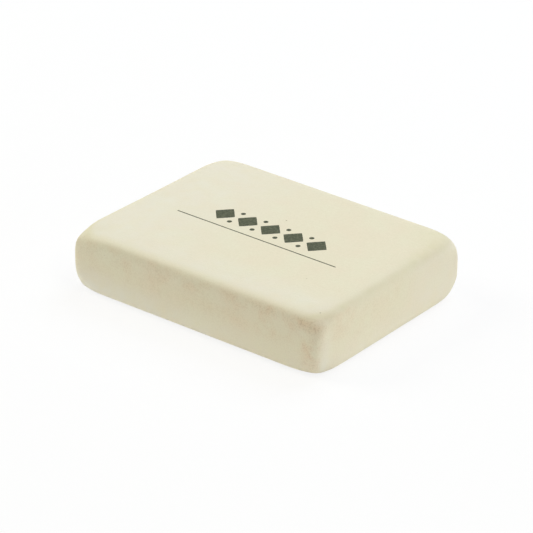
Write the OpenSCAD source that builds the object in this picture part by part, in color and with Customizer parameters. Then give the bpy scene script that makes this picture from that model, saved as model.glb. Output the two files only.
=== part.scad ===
// Natural rubber eraser: one flat rubber block, tumbled until every edge and corner is soft,
// with a thin printed mark on its top face.
// The origin is the middle of the underside. X runs along the length, Y across the width, Z up.

/* [Block] */
// Length of the block
block_length = 40; // [30:0.5:60]
// Width of the block
block_width = 30; // [24:0.1:45]
// Thickness of the block
block_height = 8.3; // [6:0.1:16]

/* [Tumbled edges] */
// Radius of the upright corners, seen from above
corner_round = 2.4; // [2:0.1:7]
// Radius of the soft edge around the top face
top_round = 1.7; // [0.5:0.1:2]
// Radius of the soft edge around the underside
bottom_round = 1.5; // [0.5:0.1:2]

/* [Printed mark] */
// Thickness of the dry ink
ink_thickness = 0.03; // [0.02:0.01:0.1]
// Bare rubber between the soft edge and each end of the fine rule
rule_margin = 5.5; // [2:0.1:8]
// Width of the fine rule
rule_width = 0.15; // [0.1:0.01:0.6]
// Distance of the fine rule from the middle of the top face, towards the front
rule_offset = 2.3; // [0:0.05:5]
// Bare rubber between the fine rule and the row of lozenges
row_clearance = 1.25; // [0.4:0.05:3]
// Distance that the row of lozenges keeps inside each end of the fine rule
row_inset = 3.5; // [0:0.1:6]
// Length of one lozenge, along the rule
lozenge_length = 3.2; // [1:0.1:5]
// Depth of one lozenge, across the rule
lozenge_depth = 3.5; // [2:0.1:5]
// Gap between the side points of neighbouring lozenges
lozenge_gap = 0.5; // [0.2:0.1:2]
// Diameter of the dots between the lozenges
dot_diameter = 0.7; // [0.3:0.1:1]

/* [Hidden] */
$fn = 96;

rubber_cream = "#E6E2CD";
ink_green = "#5E6251";

// How far past a square corner a cut reaches, to leave no skin on it
cut_past = 1;

rule_length = block_length - 2 * top_round - 2 * rule_margin;
lozenge_pitch = lozenge_length + lozenge_gap;
lozenge_count = max(1, floor((rule_length - 2 * row_inset + lozenge_gap) / lozenge_pitch));
row_centre = rule_width / 2 + row_clearance + lozenge_depth / 2 - rule_offset;

// What tumbling takes off a square corner that lies at the origin, below and left of it
module corner_waste(radius) {
    translate([-radius, -radius]) difference() {
        square(radius + cut_past);
        circle(radius);
    }
}

// Half of the block's upright section, from X = 0 out to a side at X = reach
module half_section(reach) {
    difference() {
        square([reach, block_height]);
        translate([reach, block_height]) corner_waste(top_round);
        translate([reach, 0]) mirror([0, 1]) corner_waste(bottom_round);
    }
}

// The stretch between the upright corners, which carries the two long sides
module middle_stretch() {
    for (side = [0, 1])
        mirror([0, side, 0]) rotate([90, 0, 90])
            linear_extrude(block_length - 2 * corner_round, center = true)
                half_section(block_width / 2);
}

// The stretch at the +X end, which carries one short side and the two corners beside it
module end_stretch() {
    translate([block_length / 2 - corner_round, 0, 0]) {
        rotate([90, 0, 0])
            linear_extrude(block_width - 2 * corner_round, center = true)
                half_section(corner_round);
        for (side = [0, 1])
            mirror([0, side, 0]) translate([0, block_width / 2 - corner_round, 0])
                rotate_extrude(angle = 90) half_section(corner_round);
    }
}

module rubber_block() {
    color(rubber_cream) union() {
        middle_stretch();
        for (end = [0, 1])
            mirror([end, 0, 0]) end_stretch();
    }
}

module lozenge() {
    polygon([
        [lozenge_length / 2, 0], [0, lozenge_depth / 2],
        [-lozenge_length / 2, 0], [0, -lozenge_depth / 2]
    ]);
}

// A row of lozenges, with a pair of dots in each gap, level with the lozenges' points
module lozenge_row() {
    for (i = [0 : lozenge_count - 1])
        translate([(i - (lozenge_count - 1) / 2) * lozenge_pitch, 0]) lozenge();
    for (i = [1 : lozenge_count - 1], side = [-1, 1])
        translate([(i - lozenge_count / 2) * lozenge_pitch, side * (lozenge_depth - dot_diameter) / 2])
            circle(d = dot_diameter);
}

module printed_mark() {
    color(ink_green) translate([0, 0, block_height]) linear_extrude(ink_thickness) {
        translate([0, -rule_offset]) square([rule_length, rule_width], center = true);
        translate([0, row_centre]) lozenge_row();
    }
}

rubber_block();
printed_mark();
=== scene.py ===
"""Looks for the natural rubber eraser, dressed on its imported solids.

The block is a slab of pale natural rubber that has been cut square and then tumbled, so every
edge is worn and every corner is worn further. The ornament on its top face is pad-printed.
Shapes are worked out in millimetres and become metres when their mesh is made.
"""
import math

import bmesh
import bpy
import numpy as np
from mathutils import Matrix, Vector, noise


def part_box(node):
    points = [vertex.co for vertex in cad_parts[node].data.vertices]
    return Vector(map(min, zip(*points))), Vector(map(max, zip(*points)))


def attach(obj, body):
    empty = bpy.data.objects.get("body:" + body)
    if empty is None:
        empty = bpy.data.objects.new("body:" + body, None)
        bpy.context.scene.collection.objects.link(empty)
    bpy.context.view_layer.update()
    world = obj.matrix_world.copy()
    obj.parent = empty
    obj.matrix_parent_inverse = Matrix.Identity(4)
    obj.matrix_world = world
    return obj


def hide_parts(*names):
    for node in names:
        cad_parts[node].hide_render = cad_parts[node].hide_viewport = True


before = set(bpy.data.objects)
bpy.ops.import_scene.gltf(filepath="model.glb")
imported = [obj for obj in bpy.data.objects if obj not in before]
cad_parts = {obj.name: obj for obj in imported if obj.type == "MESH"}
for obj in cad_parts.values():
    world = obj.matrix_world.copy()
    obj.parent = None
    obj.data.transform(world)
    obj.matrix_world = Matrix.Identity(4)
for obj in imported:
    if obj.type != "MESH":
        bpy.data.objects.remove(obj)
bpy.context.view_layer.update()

MM = 0.001


# ---------------------------------------------------------------- colours and nodes

def linear(sheet_colour):
    """An sRGB hex colour as linear RGBA."""
    channels = [int(sheet_colour[i:i + 2], 16) / 255 for i in (1, 3, 5)]
    return [c / 12.92 if c <= 0.04045 else ((c + 0.055) / 1.055) ** 2.4 for c in channels] + [1]


def add(tree, kind, inputs, **settings):
    """Adds a node with its settings. Each input takes a value, or the output that feeds it."""
    made = tree.nodes.new(kind)
    for name, value in settings.items():
        setattr(made, name, value)
    for name, value in inputs.items():
        socket = next(s for s in made.inputs if s.name == name and s.enabled)
        if isinstance(value, bpy.types.NodeSocket):
            tree.links.new(value, socket)
        else:
            socket.default_value = value
    return made


def new_material(name):
    """A material with an empty node tree, and that tree."""
    material = bpy.data.materials.new(name)
    material.use_nodes = True
    material.node_tree.nodes.clear()
    return material, material.node_tree


def band(tree, value, low, high, low_to=0.0, high_to=1.0):
    """value, stretched so that low becomes low_to and high becomes high_to, and held there."""
    stretch = {"Value": value, "From Min": low, "From Max": high, "To Min": low_to, "To Max": high_to}
    return add(tree, "ShaderNodeMapRange", stretch).outputs["Result"]


def times(tree, first, second):
    """The product of two shares."""
    product = add(tree, "ShaderNodeMath", {}, operation="MULTIPLY")
    tree.links.new(first, product.inputs[0])
    tree.links.new(second, product.inputs[1])
    return product.outputs["Value"]


def mix_colours(tree, share, first, second):
    """first where share is 0, second where it is 1."""
    mixed = add(tree, "ShaderNodeMix", {"Factor": share, "A": first, "B": second}, data_type="RGBA")
    return next(s for s in mixed.outputs if s.enabled)


def straight_rays(tree):
    """1 for rays that end in the view, straight or by way of gloss or glass, 0 for other light."""
    rays = add(tree, "ShaderNodeLightPath", {}).outputs
    straight = rays["Is Camera Ray"]
    for kind in ("Is Glossy Ray", "Is Transmission Ray"):
        either = add(tree, "ShaderNodeMath", {}, operation="MAXIMUM")
        tree.links.new(straight, either.inputs[0])
        tree.links.new(rays[kind], either.inputs[1])
        straight = either.outputs["Value"]
    return straight


# ---------------------------------------------------------------- finishes

# The rubber where its filler is thin, where it is thick, and where its grain darkens it
WARM_RUBBER = "#EAE0C9"
CHALKY_RUBBER = "#E9E4CC"
GRAIN_RUBBER = "#DFD8BD"
# What lies on the rubber or in it, and the painted shade and painted light laid in with it
SOIL_AND_SHADE_BROWN = "#DFC2A0"
SOIL_AND_SHADE_DOTS = "#AE9370"
TALC_AND_LIGHT_WHITE = "#E9E6DA"
EDGE_SHADE_AND_GRIME = "#DCD5B0"
BARK_SPECK = "#8C7A58"
# The ink where it lies thick, where the rubber's grain thins it, and pressed out at its rim
THICK_INK = "#393E28"
THIN_INK = "#575B44"
RIM_INK = "#2D3122"


def tumbled_natural_rubber():
    """Natural rubber with a chalk filler, cured in a slab, cut, and tumbled with talc.

    To the eye: a warm cream, wholly matt, faintly clouded where the filler is unevenly mixed,
    pebbled very finely by the tumbling, with the odd dark speck of bark or scorch.
    """
    material, tree = new_material("tumbled_natural_rubber")
    place = add(tree, "ShaderNodeTexCoord", {}).outputs["Object"]

    # Filler clouds run 3 to 6 mm across
    clouds = add(tree, "ShaderNodeTexNoise", {"Vector": place, "Scale": 1 / (4.5 * MM), "Detail": 3.0})
    # Tumbling grain is 0.1 mm in life; it is drawn at 0.2 mm, the finest that shows
    grain = add(tree, "ShaderNodeTexNoise", {"Vector": place, "Scale": 1 / (0.2 * MM), "Detail": 1.0})
    # Shallow pebbling that the hand feels, about 1 mm across
    pebbles = add(tree, "ShaderNodeTexNoise", {"Vector": place, "Scale": 1 / (1.1 * MM), "Detail": 2.0})

    # Nearly all of a noise's values lie between 0.3 and 0.7
    clouding = band(tree, clouds.outputs["Fac"], 0.3, 0.7)
    clouded = mix_colours(tree, clouding, linear(WARM_RUBBER), linear(CHALKY_RUBBER))
    graining = band(tree, grain.outputs["Fac"], 0.3, 0.7, high_to=0.4)
    grained = mix_colours(tree, graining, clouded, linear(GRAIN_RUBBER))

    # Soil and painted shade lie in patches some 2 mm across, with darker dots of them on the grain
    soil = add(tree, "ShaderNodeAttribute", {}, attribute_name="soiled").outputs["Fac"]
    patches = add(tree, "ShaderNodeTexNoise", {"Vector": place, "Scale": 1 / (2 * MM)})
    patchy = times(tree, soil, band(tree, patches.outputs["Fac"], 0.35, 0.65, low_to=0.1))
    browning = times(tree, patchy, patches.outputs["Fac"])
    browned = mix_colours(tree, browning, grained, linear(SOIL_AND_SHADE_BROWN))
    dotting = times(tree, patchy, band(tree, grain.outputs["Fac"], 0.5, 0.65, high_to=0.36))
    dotted = mix_colours(tree, dotting, browned, linear(SOIL_AND_SHADE_DOTS))

    # Talc and painted light lie in the same patches, and grime and painted shade on the crowns of
    # the pebbles
    talc_and_light = add(tree, "ShaderNodeAttribute", {}, attribute_name="dusted").outputs["Fac"]
    talc_and_light_share = times(tree, talc_and_light, patches.outputs["Fac"])
    dusted = mix_colours(tree, talc_and_light_share, dotted, linear(TALC_AND_LIGHT_WHITE))
    grime = add(tree, "ShaderNodeAttribute", {}, attribute_name="grimed").outputs["Fac"]
    grime_and_shade_share = times(tree, grime, pebbles.outputs["Fac"])
    grimed = mix_colours(tree, grime_and_shade_share, dusted, linear(EDGE_SHADE_AND_GRIME))

    # Specks 0.2 mm across: one in every other cell of 3.2 mm, and some darker than others
    cells = add(tree, "ShaderNodeTexVoronoi", {"Vector": place, "Scale": 1 / (3.2 * MM)})
    centre = band(tree, cells.outputs["Distance"], 0.02, 0.04, low_to=1.0, high_to=0.0)
    lot = add(tree, "ShaderNodeSeparateColor", {"Color": cells.outputs["Color"]}).outputs["Red"]
    speck = times(tree, centre, band(tree, lot, 0.5, 1.0, high_to=0.8))
    specked = mix_colours(tree, speck, grimed, linear(BARK_SPECK))

    relief = add(tree, "ShaderNodeBump", {
        "Height": pebbles.outputs["Fac"], "Strength": 1.0, "Distance": 0.008 * MM})
    relief = add(tree, "ShaderNodeBump", {
        "Height": grain.outputs["Fac"], "Strength": 1.0, "Distance": 0.016 * MM,
        "Normal": relief.outputs["Normal"]})

    surface = add(tree, "ShaderNodeBsdfPrincipled", {
        "Base Color": specked, "Roughness": 0.9, "IOR": 1.52, "Specular IOR Level": 0.3,
        "Normal": relief.outputs["Normal"]})
    add(tree, "ShaderNodeOutputMaterial", {"Surface": surface.outputs["BSDF"]})
    return material


def pad_printed_ink():
    """Thin green-black ink, laid by a soft pad and dried matt.

    To the eye: a grey green that is a little darker at its rim, where the pad presses it out,
    and mottled inside, where the rubber's grain shows through the film.
    """
    material, tree = new_material("pad_printed_ink")
    place = add(tree, "ShaderNodeTexCoord", {}).outputs["Object"]
    film = add(tree, "ShaderNodeAttribute", {}, attribute_name="film").outputs["Fac"]

    # The rubber's grain under the film is 0.1 mm in life; it is drawn at 0.3 mm, so that it shows
    grain = add(tree, "ShaderNodeTexNoise", {"Vector": place, "Scale": 1 / (0.3 * MM), "Detail": 2.0})
    thinning = band(tree, grain.outputs["Fac"], 0.4, 0.7)
    inside = mix_colours(tree, thinning, linear(THICK_INK), linear(THIN_INK))
    inked = mix_colours(tree, band(tree, film, 0.0, 1.0), linear(RIM_INK), inside)

    relief = add(tree, "ShaderNodeBump", {
        "Height": grain.outputs["Fac"], "Strength": 1.0, "Distance": 0.004 * MM})
    surface = add(tree, "ShaderNodeBsdfPrincipled", {
        "Base Color": inked, "Roughness": 0.7, "IOR": 1.5, "Specular IOR Level": 0.35,
        "Normal": relief.outputs["Normal"]})
    add(tree, "ShaderNodeOutputMaterial", {"Surface": surface.outputs["BSDF"]})
    return material


# ---------------------------------------------------------------- meshes

def piece_from(name, points, faces, material, **attributes):
    """A smooth-shaded mesh object from points in millimetres, riding on the one body."""
    mesh = bpy.data.meshes.new(name)
    mesh.from_pydata((np.asarray(points) * MM).tolist(), [], faces)
    for title, values in attributes.items():
        mesh.attributes.new(title, "FLOAT", "POINT").data.foreach_set("value", values)
    mesh.materials.append(material)
    mesh.shade_smooth()
    piece = bpy.data.objects.new(name, mesh)
    bpy.context.scene.collection.objects.link(piece)
    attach(piece, "root")
    return piece


# ---------------------------------------------------------------- the rubber block

block_low, block_high = (np.array(corner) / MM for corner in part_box("rubber_block"))
block_middle = (block_low + block_high) / 2
half_size = (block_high - block_low) / 2

# How far in from each side the wear starts. At the -X and the +X end it starts further in at the
# top, and it begins to widen at this share of the half height
WEAR_FROM_END = 2.3
TOP_WEAR_FROM_END = {-1: 2.9, 1: 3.4}
WEAR_WIDENS_AT = 0.2
WEAR_FROM_LONG_SIDE = 2.45
WEAR_FROM_TOP = 2.05
WEAR_FROM_UNDERSIDE = 0.85

# How crisp each kind of edge is left: 2 is a plain round, and more keeps it squarer
CRISP_UPRIGHT = 4.1
CRISP_TOP = 3.7
CRISP_UNDERSIDE = 2.2

# How far from a corner its own wear starts, how late it sets in, and how hard each corner has
# been hit. A corner is named by its end, its side and its face: -X or +X, -Y or +Y, -Z or +Z
CORNER_REACH = 6.4
CORNER_ONSET = 3.75
CORNER_HITS = {
    (-1, -1, 1): 1.5, (1, -1, 1): 5.4, (-1, 1, 1): 3.2, (1, 1, 1): 3.6,
    (-1, -1, -1): 2.8, (1, -1, -1): 2.7, (-1, 1, -1): 1.3, (1, 1, -1): 3.6,
}

# The knives that cut the slab were never quite square: how far each upright edge stands in
# from a true rectangle, along the length and across the width, and how hollow the -X end is
OUT_OF_SQUARE = {(-1, -1): (0.15, 0), (1, -1): (0, 0.2), (-1, 1): (0.25, 0), (1, 1): (0.2, 0.25)}
END_HOLLOW = 0.1

# The top has been rubbed down: a little all along its front rim, and more at that rim's -X
# corner. The reaches say how far in from the front, and from the end, either loss is felt
RIM_LOSS = 0.13
RIM_REACH = 4
CORNER_LOSS = 0.65
CORNER_REACH_ALONG = 7
CORNER_REACH_ACROSS = 5

# The lattice that becomes the block: cells on the flats, cells over half a worn edge, and how
# deep the core lies that the edge cells fan out from
FLAT_CELL = 0.4
EDGE_CELLS = 12
CORE_DEPTH = 3.8

# How often the way to the worn surface is halved: enough to find it to the last digit that a
# mesh holds
HALVINGS = 40

# How deep the hollows in the sides go, how far they are across, and the share of the half
# height over which they die out towards the top and the underside
UNEVEN_DEPTH = 0.05
UNEVEN_ACROSS = 7
UNEVEN_FADE = 0.3

# How far a ray from the core faces up, from 0 for level to 1 for upright, where it leaves the
# sides, where it meets the top, where it crosses the rim, and where it crosses the strip of the
# top just inside that rim. Each pair is the start and the end of a change
SIDES_END = (0.62, 0.76)
TOP_STARTS = (0.76, 0.9)
RIM_STARTS = (0.6, 0.72)
RIM_ENDS = (0.74, 0.84)
STRIP_STARTS = (0.7, 0.82)
STRIP_ENDS = (0.82, 0.97)

# How far from its edge or corner each zone of soil, talc, grime, painted shade and painted light
# starts to fade, and where it is gone. The rubbed corner is the upright one in front at the +X end,
# and the far one is behind it
EDGE_ZONE = (0.5, 3.2)
LONG_SIDE_ZONE = (0.5, 2.5)
RUBBED_CORNER_ZONE = (3, 18)
RUBBED_UPRIGHT_ZONE = (1.5, 3.5)
FRONT_RIM_ZONE = (3, 8)
END_RIM_ZONE = (2, 4)
FAR_CORNER_ZONE = (3, 10)
RIGHT_END_ZONE = (2.5, 5)
# How far behind the block's middle the right-hand end's far half begins, and is fully there
FAR_HALF = (1, 7)
# How much nearer to the end than to the long side a place on the upright edge is where the
# end's half of that edge begins, and is fully there
END_SIDE = (0, 0.9)

# Where soil, talc, painted shade and painted light begin, and are full, on a way from the block's
# middle, as shares of its half size: up or down its sides, down the rubbed upright edge, up the far
# half, or left over the top
SOIL_AND_SHADE_UPWARD = (-1.3, 0.6)
PAINTED_SHADE_DOWN_UPRIGHT = (-0.3, 0.5)
TALC_AND_LIGHT_DOWNWARD = (-0.2, 0.9)
PAINTED_HIGHLIGHT_DOWN_UPRIGHT = (-0.7, 0)
PAINTED_LIGHT_UP_FAR_HALF = (-0.9, 0)
TALC_AND_SHEEN_LEFTWARD = (-0.2, 0.9)

# The share of the soil and painted shade that stays far from the rubbed corner, and the share away
# from the long sides
LEAST_FAR_FROM_RUBBED_CORNER = 0.5
LEAST_AWAY_FROM_LONG_SIDES = 0.4

# How strongly each soil, talc, grime, painted shade and painted light is laid on: 1 covers, save
# where its pattern thins it
# Soil with painted shade: the sides darker and browner high up, the long sides most
SOIL_AND_SHADE_ON_SIDES = 0.5
SOIL_AND_SHADE_ALONG_EDGES = 0.3
# Painted shade: the long side's half of the rubbed upright edge darkened, beside the step where the
# light turns that corner
PAINTED_SHADE_BY_UPRIGHT = 0.7
# Talc with painted light: paler along the foot of the sides, more so to the left, standing in for light
# off the board
TALC_AND_LIGHT_AT_FOOT = 1.3
TALC_AND_LIGHT_MORE_LEFTWARD = 0.7
# Talc with painted sheen: the top paler to its left
TALC_AND_SHEEN_ON_TOP_LEFT = 0.75
# Painted highlight: a paler band along the top's front rim
PAINTED_HIGHLIGHT_ON_FRONT_RIM = 0.6
# Painted highlight: the end's half of the rubbed upright edge paler, beside the step where the light
# turns that corner
PAINTED_HIGHLIGHT_BY_UPRIGHT = 0.65
# Painted light: the right-hand end's far half made paler
PAINTED_LIGHT_ON_FAR_HALF = 0.5
# Painted shade: a darker line along the rim at both ends
PAINTED_SHADE_ON_END_RIMS = 0.6
GRIME_AT_FAR_CORNER = 0.4
# Painted shade: a darker strip just inside the rim along the right-hand end's far half
PAINTED_SHADE_ON_FAR_STRIP = 0.6


def ramp(value, start, end):
    """0 up to start, 1 from end on, and smooth between them."""
    share = np.clip((value - start) / (end - start), 0, 1)
    return share * share * (3 - 2 * share)


def within(distance, zone):
    """1 until the zone starts to fade, and 0 once it is gone."""
    return 1 - ramp(distance, *zone)


def squared_up(offset):
    """Where each place on the block, out of square and rubbed down, would lie on a true one."""
    share = offset[:, :2] / half_size[:2]
    true = offset.copy()
    for (end, side), inward in OUT_OF_SQUARE.items():
        weight = (1 + end * share[:, 0]) * (1 + side * share[:, 1]) / 4
        true[:, 0] += weight * end * inward[0]
        true[:, 1] += weight * side * inward[1]
    true[:, 0] -= END_HOLLOW * np.clip(-share[:, 0], 0, 1) * (1 - share[:, 1] ** 2)
    from_end = offset[:, 0] + half_size[0]
    from_front = offset[:, 1] + half_size[1]
    at_corner = within(from_end, (0, CORNER_REACH_ALONG)) * within(from_front, (0, CORNER_REACH_ACROSS))
    lost = RIM_LOSS * within(from_front, (0, RIM_REACH)) + CORNER_LOSS * at_corner
    true[:, 2] += lost * np.clip(offset[:, 2] / half_size[2], 0, 1)
    return true


def fullness(points):
    """How far out each point lies on the worn block: under 1 is inside and 1 is on its surface."""
    offset = squared_up(points - block_middle)
    upper = offset[:, 2] > 0
    distance = np.abs(offset)
    at_top = ramp(offset[:, 2] / half_size[2], WEAR_WIDENS_AT, 1)
    top_wear = np.where(offset[:, 0] < 0, TOP_WEAR_FROM_END[-1], TOP_WEAR_FROM_END[1])
    reach = np.stack([
        WEAR_FROM_END + (top_wear - WEAR_FROM_END) * at_top,
        np.full(len(points), WEAR_FROM_LONG_SIDE),
        np.where(upper, WEAR_FROM_TOP, WEAR_FROM_UNDERSIDE)], axis=1)
    along, across, up = (np.maximum(distance - half_size + reach, 0) / reach).T
    crisp = np.where(upper, CRISP_TOP, CRISP_UNDERSIDE)
    round_plan = (along ** CRISP_UPRIGHT + across ** CRISP_UPRIGHT) ** (crisp / CRISP_UPRIGHT)

    near_corner = np.maximum(distance[:, :2] - half_size[:2] + CORNER_REACH, 0) / CORNER_REACH
    near_corner = near_corner.prod(axis=1) * distance[:, 2] / half_size[2]
    corner = np.where(offset > 0, 1, -1)
    hits = np.array([CORNER_HITS[tuple(c)] for c in corner.tolist()])
    return (round_plan + up ** crisp + hits * near_corner ** CORNER_ONSET) ** (1 / crisp)


def lattice_lines(half):
    """Where the lattice cuts one axis: even cells along the flat, then fanned over the edge."""
    flat = half - CORE_DEPTH
    cells = max(2, round(2 * flat / FLAT_CELL))
    middle = np.linspace(-flat, flat, cells + 1)
    fan = flat + CORE_DEPTH * np.tan(np.linspace(0, math.pi / 4, EDGE_CELLS + 1)[1:])
    return np.concatenate([-fan[::-1], middle, fan])


def closed_lattice(lines):
    """The skin of a box cut by those lines on each axis, as points and outward quads."""
    last = [len(axis_lines) - 1 for axis_lines in lines]
    index = {}
    points = []
    faces = []

    def corner_at(place):
        if place not in index:
            index[place] = len(points)
            points.append([lines[axis][place[axis]] for axis in range(3)])
        return index[place]

    for axis in range(3):
        first, second = (axis + 1) % 3, (axis + 2) % 3
        for level in (0, last[axis]):
            for i in range(last[first]):
                for j in range(last[second]):
                    quad = []
                    for di, dj in ((0, 0), (1, 0), (1, 1), (0, 1)):
                        place = [0, 0, 0]
                        place[axis], place[first], place[second] = level, i + di, j + dj
                        quad.append(corner_at(tuple(place)))
                    faces.append(quad if level else quad[::-1])
    return np.array(points), faces


def unevenness(points):
    """How deep, 0 to 1, the slight hollows go that curing and tumbling leave in the sides."""
    return np.array([0.5 + 0.5 * noise.noise(Vector(p) / UNEVEN_ACROSS) for p in points])


def soil_dust_and_painted_light(places, facing_up):
    """How much soil with painted shade, talc with painted light, and grime with painted shade each
    place carries.
    """
    from_face = half_size - np.abs(places)
    from_edge = np.sort(from_face, axis=1)[:, 1]
    from_right = half_size[0] - places[:, 0]
    from_front = half_size[1] + places[:, 1]
    from_back = half_size[1] - places[:, 1]
    from_rubbed_corner = np.hypot(from_right, from_front)
    from_far_corner = np.hypot(from_right, from_back)
    leftward = -places[:, 0] / half_size[0]
    upward = places[:, 2] / half_size[2]

    on_side = within(facing_up, SIDES_END)
    on_top = ramp(facing_up, *TOP_STARTS)
    on_rim = ramp(facing_up, *RIM_STARTS) * within(facing_up, RIM_ENDS)
    on_strip = ramp(facing_up, *STRIP_STARTS) * within(facing_up, STRIP_ENDS)
    by_upright = on_side * within(from_rubbed_corner, RUBBED_UPRIGHT_ZONE)
    on_end = ramp(from_face[:, 1] - from_face[:, 0], *END_SIDE)
    on_far_half = ramp(places[:, 1], *FAR_HALF) * within(from_right, RIGHT_END_ZONE)

    # Soil and painted shade darken the sides, the long ones most: high up, along the edges and above
    # all near the rubbed corner, where the long side's half of the upright edge is painted darkest as
    # shade beside the step where the light turns that corner
    by_rubbed_corner = LEAST_FAR_FROM_RUBBED_CORNER + (1 - LEAST_FAR_FROM_RUBBED_CORNER) * within(from_rubbed_corner, RUBBED_CORNER_ZONE)
    on_long_sides = LEAST_AWAY_FROM_LONG_SIDES + (1 - LEAST_AWAY_FROM_LONG_SIDES) * within(from_face[:, 1], LONG_SIDE_ZONE)
    soil = SOIL_AND_SHADE_ON_SIDES + SOIL_AND_SHADE_ALONG_EDGES * within(from_edge, EDGE_ZONE)
    soiled = on_side * on_long_sides * by_rubbed_corner * soil * ramp(upward, *SOIL_AND_SHADE_UPWARD)
    soiled += PAINTED_SHADE_BY_UPRIGHT * by_upright * (1 - on_end) * ramp(-upward, *PAINTED_SHADE_DOWN_UPRIGHT)

    # Paler colour: talc with painted light along the foot of the sides, talc with painted sheen on the
    # top's left, painted highlight on its front rim and on the end's half of the rubbed upright edge,
    # and painted light on that end's far half
    at_foot = on_side * ramp(-upward, *TALC_AND_LIGHT_DOWNWARD)
    dusted = at_foot * (TALC_AND_LIGHT_AT_FOOT + TALC_AND_LIGHT_MORE_LEFTWARD * leftward)
    on_left = TALC_AND_SHEEN_ON_TOP_LEFT * ramp(leftward, *TALC_AND_SHEEN_LEFTWARD)
    on_front = PAINTED_HIGHLIGHT_ON_FRONT_RIM * within(from_front, FRONT_RIM_ZONE)
    dusted += on_top * np.maximum(on_left, on_front)
    dusted += PAINTED_HIGHLIGHT_BY_UPRIGHT * by_upright * on_end * ramp(-upward, *PAINTED_HIGHLIGHT_DOWN_UPRIGHT)
    dusted += PAINTED_LIGHT_ON_FAR_HALF * on_far_half * on_side * ramp(upward, *PAINTED_LIGHT_UP_FAR_HALF)

    # Painted shade darkens the rim at both ends and the strip inside the rim along the right-hand end's
    # far half, and grime lies faintly over the top's far corner
    grimed = PAINTED_SHADE_ON_END_RIMS * on_rim * within(from_face[:, 0], END_RIM_ZONE)
    grimed += GRIME_AT_FAR_CORNER * on_top * within(from_far_corner, FAR_CORNER_ZONE)
    grimed += PAINTED_SHADE_ON_FAR_STRIP * on_far_half * on_strip
    return soiled, dusted, grimed


def tumbled_block(material):
    """The worn block: a box lattice drawn in along rays from its core onto the worn surface."""
    outer, faces = closed_lattice([lattice_lines(half) for half in half_size])
    core = np.clip(outer, CORE_DEPTH - half_size, half_size - CORE_DEPTH)
    ray = outer - core
    inside, outside = np.zeros(len(outer)), np.ones(len(outer))
    for _ in range(HALVINGS):
        halfway = (inside + outside) / 2
        covered = fullness(block_middle + core + ray * halfway[:, None]) < 1
        inside = np.where(covered, halfway, inside)
        outside = np.where(covered, outside, halfway)
    worn = core + ray * inside[:, None]

    # Only the sides are uneven: the slab's faces are as flat as the plates it was cured between
    upright = np.clip(1 - np.abs(worn[:, 2]) / half_size[2], 0, UNEVEN_FADE) / UNEVEN_FADE
    outward = ray / np.linalg.norm(ray, axis=1)[:, None]
    worn -= outward * (UNEVEN_DEPTH * upright * unevenness(worn))[:, None]
    soiled, dusted, grimed = soil_dust_and_painted_light(worn, outward[:, 2])
    return piece_from("tumbled_block", worn + block_middle, faces, material,
                      soiled=soiled, dusted=dusted, grimed=grimed)


block = tumbled_block(tumbled_natural_rubber())
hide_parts("rubber_block")


# ---------------------------------------------------------------- the printed ornament

# Thickness of the film of ink, and the width of the rim over which it thins to nothing
FILM_THICKNESS = 0.022
FILM_RIM = 0.12
# The power by which the film rises over its rim: under 1 it rises steeply and then levels off
FILM_RISE = 0.5
# How far the film keys into the rubber's grain, so that no gap shows under it
FILM_KEY = 0.01
# How far the rim strays from a true line, where ink creeps along the grain, how far along it
# one such stray runs, and the power by which it fades towards the patch's middle
INK_CREEP = 0.02
CREEP_RUN = 0.35
CREEP_FADE = 4

# The power of an outline's curve: 2 is a circle, and 1 a lozenge with needle points
DOT_CURVE = 2.0
LOZENGE_CURVE = 1.04

# How finely a patch of ink is drawn: places round its outline, rings over its rim as shares of
# the rim's width, and rings from there to its middle
PATCH_PLACES = 144
RIM_RINGS = [0, 0.15, 0.35, 0.65, 1.0]
INNER_RINGS = 6
# How near its middle a ring may be drawn in by creeping, as a share of its own radius
LEAST_RADIUS = 0.2

# How far apart the stations along a line of ink lie, and how many times longer than deep a
# solid is that counts as a line
LINE_STEP = 0.15
LINE_PROPORTION = 5
# How near each other two corners of the CAD mark's facets are that are the same corner
SAME_CORNER = 0.001


def printed_solids(mark):
    """The lowest and highest corner, in millimetres, of each separate solid of the CAD mark."""
    joined = bmesh.new()
    joined.from_mesh(mark.data)
    bmesh.ops.remove_doubles(joined, verts=joined.verts, dist=SAME_CORNER * MM)
    waiting = set(joined.verts)
    boxes = []
    while waiting:
        reached = [waiting.pop()]
        for vertex in reached:
            beyond = {edge.other_vert(vertex) for edge in vertex.link_edges} & waiting
            waiting -= beyond
            reached.extend(beyond)
        places = np.array([vertex.co / MM for vertex in reached])
        boxes.append((places.min(axis=0), places.max(axis=0)))
    joined.free()
    return sorted(boxes, key=lambda box: tuple(box[0]))


def creep(x, y):
    """How far ink has crept past its line there, in millimetres."""
    return INK_CREEP * noise.noise(Vector((x, y, 0)) / CREEP_RUN)


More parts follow.
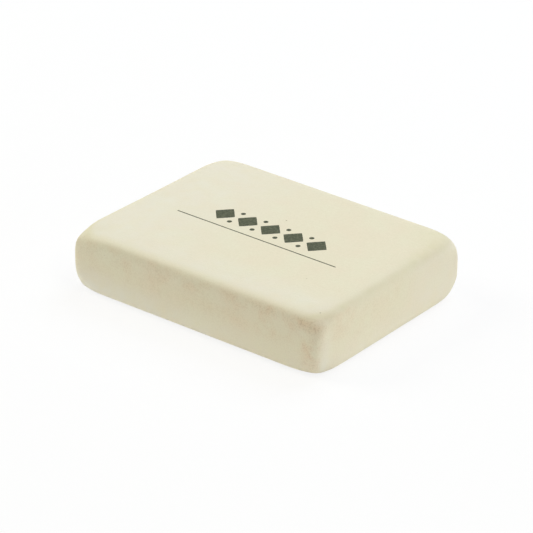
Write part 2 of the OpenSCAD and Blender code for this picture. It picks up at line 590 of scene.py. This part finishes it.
def ink_patch(low, high, curve):
    """A closed film under a curved outline that fills the box: points, faces and film share."""
    middle, half = (low + high) / 2, (high - low) / 2
    rim = FILM_RIM / min(half[:2])
    shares = [1 - rim * ring for ring in RIM_RINGS]
    shares += list(np.linspace(shares[-1], 0, INNER_RINGS + 2)[1:-1])
    points, film = [], []
    for share in shares:
        in_from_line = min((1 - share) / rim, 1)
        for angle in np.arange(PATCH_PLACES) * 2 * math.pi / PATCH_PLACES:
            out = np.array([math.cos(angle), math.sin(angle)])
            radius = (np.abs(out / half[:2]) ** curve).sum() ** (-1 / curve) * share
            stray = creep(*(middle[:2] + out * radius)) * share ** CREEP_FADE - INK_CREEP
            x, y = middle[:2] + out * max(radius + stray, LEAST_RADIUS * radius)
            points.append([x, y, low[2] + FILM_THICKNESS * in_from_line ** FILM_RISE])
            film.append(in_from_line)

    # One place in the middle closes the top, and the outline, let down to the depth of the key,
    # closes the foot round another
    summit = len(points)
    points.append([*middle[:2], low[2] + FILM_THICKNESS])
    foot = len(points)
    points += [[x, y, low[2] - FILM_KEY] for x, y, _ in points[:PATCH_PLACES]]
    hollow = len(points)
    points.append([*middle[:2], low[2] - FILM_KEY])
    film += [1] + [0] * (PATCH_PLACES + 1)

    faces = []
    for ring in range(len(shares) - 1):
        near = ring * PATCH_PLACES
        far = near + PATCH_PLACES
        for i in range(PATCH_PLACES):
            after = (i + 1) % PATCH_PLACES
            faces.append([near + i, near + after, far + after, far + i])
    inmost = (len(shares) - 1) * PATCH_PLACES
    for i in range(PATCH_PLACES):
        after = (i + 1) % PATCH_PLACES
        faces.append([inmost + i, inmost + after, summit])
        faces.append([foot + i, foot + after, after, i])
        faces.append([foot + after, foot + i, hollow])
    return points, faces, film


def ink_line(low, high):
    """A closed, slightly wavering film along the box's length: points, faces and film share."""
    middle, half = (low + high) / 2, (high - low) / 2
    # Across the line: place in half widths, height in film thicknesses, share of film
    section = [(1, 0, 0), (0.6, 0.8, 0.5), (0, 1, 0.7), (-0.6, 0.8, 0.5), (-1, 0, 0)]
    stations = np.linspace(low[0], high[0], round((high[0] - low[0]) / LINE_STEP) + 1)
    points, film = [], []
    for x in stations:
        # A line creeps half as far as a patch, and narrows to half its width at either end
        from_end = min(x - low[0], high[0] - x) / half[1]
        width = (half[1] + INK_CREEP + creep(x, 0) / 2) * min(1, 0.5 + from_end)
        for across, up, share in section:
            points.append([x, middle[1] + width * across, low[2] + FILM_THICKNESS * up])
            film.append(share)
        for across in (-1, 1):
            points.append([x, middle[1] + width * across, low[2] - FILM_KEY])
            film.append(0)

    around = len(section) + 2
    faces = []
    for station in range(len(stations) - 1):
        near = station * around
        far = near + around
        for i in range(around):
            after = (i + 1) % around
            faces.append([near + i, far + i, far + after, near + after])
    faces.append(list(range(around)))
    faces.append([len(points) - 1 - i for i in range(around)])
    return points, faces, film


def printed_ornament(material):
    """Every shape of the CAD mark, laid again as a film of ink on the rubber."""
    boxes = printed_solids(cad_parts["printed_mark"])
    deepest = max(high[1] - low[1] for low, high in boxes)
    points, faces, film = [], [], []
    for low, high in boxes:
        length, depth = (high - low)[:2]
        if length > LINE_PROPORTION * depth:
            shape = ink_line(low, high)
        else:
            shape = ink_patch(low, high, LOZENGE_CURVE if depth > deepest / 2 else DOT_CURVE)
        more_points, more_faces, more_film = shape
        faces += [[len(points) + i for i in face] for face in more_faces]
        points += more_points
        film += more_film
    return piece_from("printed_ornament", points, faces, material, film=film)


ornament = printed_ornament(pad_printed_ink())
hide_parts("printed_mark")


# ---------------------------------------------------------------- floor, light and camera

# How far out the board runs, the two whites that cloud it, and the share of its seen white that
# doesn't wait for light
BOARD_REACH = 1500 * MM
BOARD_WHITE = "#FAFAFA"
BOARD_LIGHT_WHITE = "#FDFDFD"
BOARD_GLOW = 0.85
# How bright the white room is as a light, where it would be 1 as a background
ROOM_LEVEL = 0.17

# The square lamps: how far off they stand, and their side, which is wider behind
LAMP_DISTANCE = 600 * MM
LAMP_SIDE = 300 * MM
WIDE_LAMP_SIDE = 400 * MM
COOL_WHITE = "#E1ECFF"
SOFT_WHITE = "#FFFBE6"
WARM_WHITE = "#FFFDEF"

# The board is lit from beneath, most along the block's foot in front and at the right-hand end:
# how far off the block and off the board the strips lie, where each runs, and how far out
STRIP_GAP = 0.2
STRIP_LIFT = 0.05
FRONT_STRIP_RUN = (-40, 27)
FRONT_STRIP_REACH = 7
END_STRIP_RUN = (-12, 24)
END_STRIP_REACH = 20

# The view: where the camera stands, and how much width it takes in at the block
VIEW_AZIMUTH = 38.9
VIEW_ELEVATION = 27.0
VIEW_DISTANCE = 366.5 * MM
VIEW_WIDTH = 67.6 * MM
# The aim lies this far under the block's middle, and right of it
AIM_BELOW = 0.67 * MM
AIM_RIGHT = -0.01 * MM
# Nothing nearer or further off than this is drawn
VIEW_STARTS = 10 * MM
VIEW_ENDS = 10000 * MM

block_centre = Vector(block_middle) * MM


def studio_floor():
    """A smooth white board under the block, wide enough to fill the view."""
    material, tree = new_material("white_board")
    place = add(tree, "ShaderNodeTexCoord", {}).outputs["Object"]
    # Faint clouds, some 2 mm across
    clouds = add(tree, "ShaderNodeTexNoise", {"Vector": place, "Scale": 1 / (2 * MM)}).outputs["Fac"]
    white = mix_colours(tree, clouds, linear(BOARD_WHITE), linear(BOARD_LIGHT_WHITE))
    lit = add(tree, "ShaderNodeBsdfDiffuse", {"Color": white})
    glow = add(tree, "ShaderNodeEmission", {"Color": (1, 1, 1, 1), "Strength": 1.0})
    share = band(tree, straight_rays(tree), 0.0, 1.0, high_to=BOARD_GLOW)
    seen = add(tree, "ShaderNodeMixShader", {"Fac": share})
    tree.links.new(lit.outputs["BSDF"], seen.inputs[1])
    tree.links.new(glow.outputs["Emission"], seen.inputs[2])
    add(tree, "ShaderNodeOutputMaterial", {"Surface": seen.outputs["Shader"]})

    mesh = bpy.data.meshes.new("studio_floor")
    corners = [(x * BOARD_REACH, y * BOARD_REACH, 0) for x, y in ((-1, -1), (1, -1), (1, 1), (-1, 1))]
    mesh.from_pydata(corners, [], [(0, 1, 2, 3)])
    mesh.materials.append(material)
    floor = bpy.data.objects.new("studio_floor", mesh)
    bpy.context.scene.collection.objects.link(floor)


def direction(azimuth, elevation):
    """The way from the block to a place round it: azimuth 0 is the front, and 90 the +X end."""
    turn, rise = math.radians(azimuth), math.radians(elevation)
    return Vector((math.sin(turn) * math.cos(rise), -math.cos(turn) * math.cos(rise), math.sin(rise)))


def softbox(name, azimuth, elevation, side, level, tint):
    """A square lamp that faces the block. level is what it lends a white face turned to it."""
    lamp = bpy.data.lights.new(name, "AREA")
    lamp.shape = "SQUARE"
    lamp.size = side
    lamp.color = linear(tint)[:3]
    lamp.energy = level * math.pi ** 2 * LAMP_DISTANCE ** 2
    holder = bpy.data.objects.new(name, lamp)
    towards = direction(azimuth, elevation)
    holder.location = block_centre + towards * LAMP_DISTANCE
    holder.rotation_euler = towards.to_track_quat("Z", "Y").to_euler()
    bpy.context.scene.collection.objects.link(holder)


def lit_strip(name, low_corner, high_corner, level, tint):
    """A lamp that lies on the board and shines up. level is the light of its face, 1 for white."""
    lamp = bpy.data.lights.new(name, "AREA")
    lamp.shape = "RECTANGLE"
    lamp.size = (high_corner[0] - low_corner[0]) * MM
    lamp.size_y = (high_corner[1] - low_corner[1]) * MM
    lamp.color = linear(tint)[:3]
    lamp.energy = level * math.pi * lamp.size * lamp.size_y
    holder = bpy.data.objects.new(name, lamp)
    middle = [(a + b) / 2 * MM for a, b in zip(low_corner, high_corner)]
    holder.location = (*middle, STRIP_LIFT * MM)
    holder.rotation_euler = (math.pi, 0, 0)
    holder.visible_camera = False
    bpy.context.scene.collection.objects.link(holder)


def white_room():
    """The world: white to the view, and a low even light on the block."""
    world = bpy.data.worlds.new("studio")
    world.use_nodes = True
    tree = world.node_tree
    tree.nodes.clear()
    strength = band(tree, straight_rays(tree), 0.0, 1.0, low_to=ROOM_LEVEL)
    sky = add(tree, "ShaderNodeBackground", {"Color": (1, 1, 1, 1), "Strength": strength})
    add(tree, "ShaderNodeOutputWorld", {"Surface": sky.outputs["Background"]})
    bpy.context.scene.world = world


studio_floor()

softbox("high_behind", 180, 50, WIDE_LAMP_SIDE, level=0.572, tint=COOL_WHITE)
softbox("left_middle", -70, 35, LAMP_SIDE, level=0.47, tint=SOFT_WHITE)
softbox("right_high", 90, 55, LAMP_SIDE, level=0.337, tint=WARM_WHITE)
softbox("right_low", 90, 8, LAMP_SIDE, level=0.1235, tint=WARM_WHITE)

front = block_low[1] - STRIP_GAP
end = block_high[0] + STRIP_GAP
front_strip = (FRONT_STRIP_RUN[0], front - FRONT_STRIP_REACH), (FRONT_STRIP_RUN[1], front)
end_strip = (end, END_STRIP_RUN[0]), (end + END_STRIP_REACH, END_STRIP_RUN[1])
lit_strip("glow_in_front", *front_strip, level=0.327, tint=WARM_WHITE)
lit_strip("glow_at_right", *end_strip, level=0.232, tint=WARM_WHITE)

white_room()

camera = bpy.data.objects.new("camera", bpy.data.cameras.new("camera"))
bpy.context.scene.collection.objects.link(camera)
bpy.context.scene.camera = camera
towards_camera = direction(VIEW_AZIMUTH, VIEW_ELEVATION)
level_right = direction(VIEW_AZIMUTH + 90, 0)
aim = block_centre + level_right * AIM_RIGHT - towards_camera.cross(level_right) * AIM_BELOW
camera.location = aim + towards_camera * VIEW_DISTANCE
camera.rotation_euler = towards_camera.to_track_quat("Z", "Y").to_euler()
camera.data.lens = camera.data.sensor_width * VIEW_DISTANCE / VIEW_WIDTH
camera.data.clip_start = VIEW_STARTS
camera.data.clip_end = VIEW_ENDS

bpy.context.scene.view_settings.view_transform = "Standard"
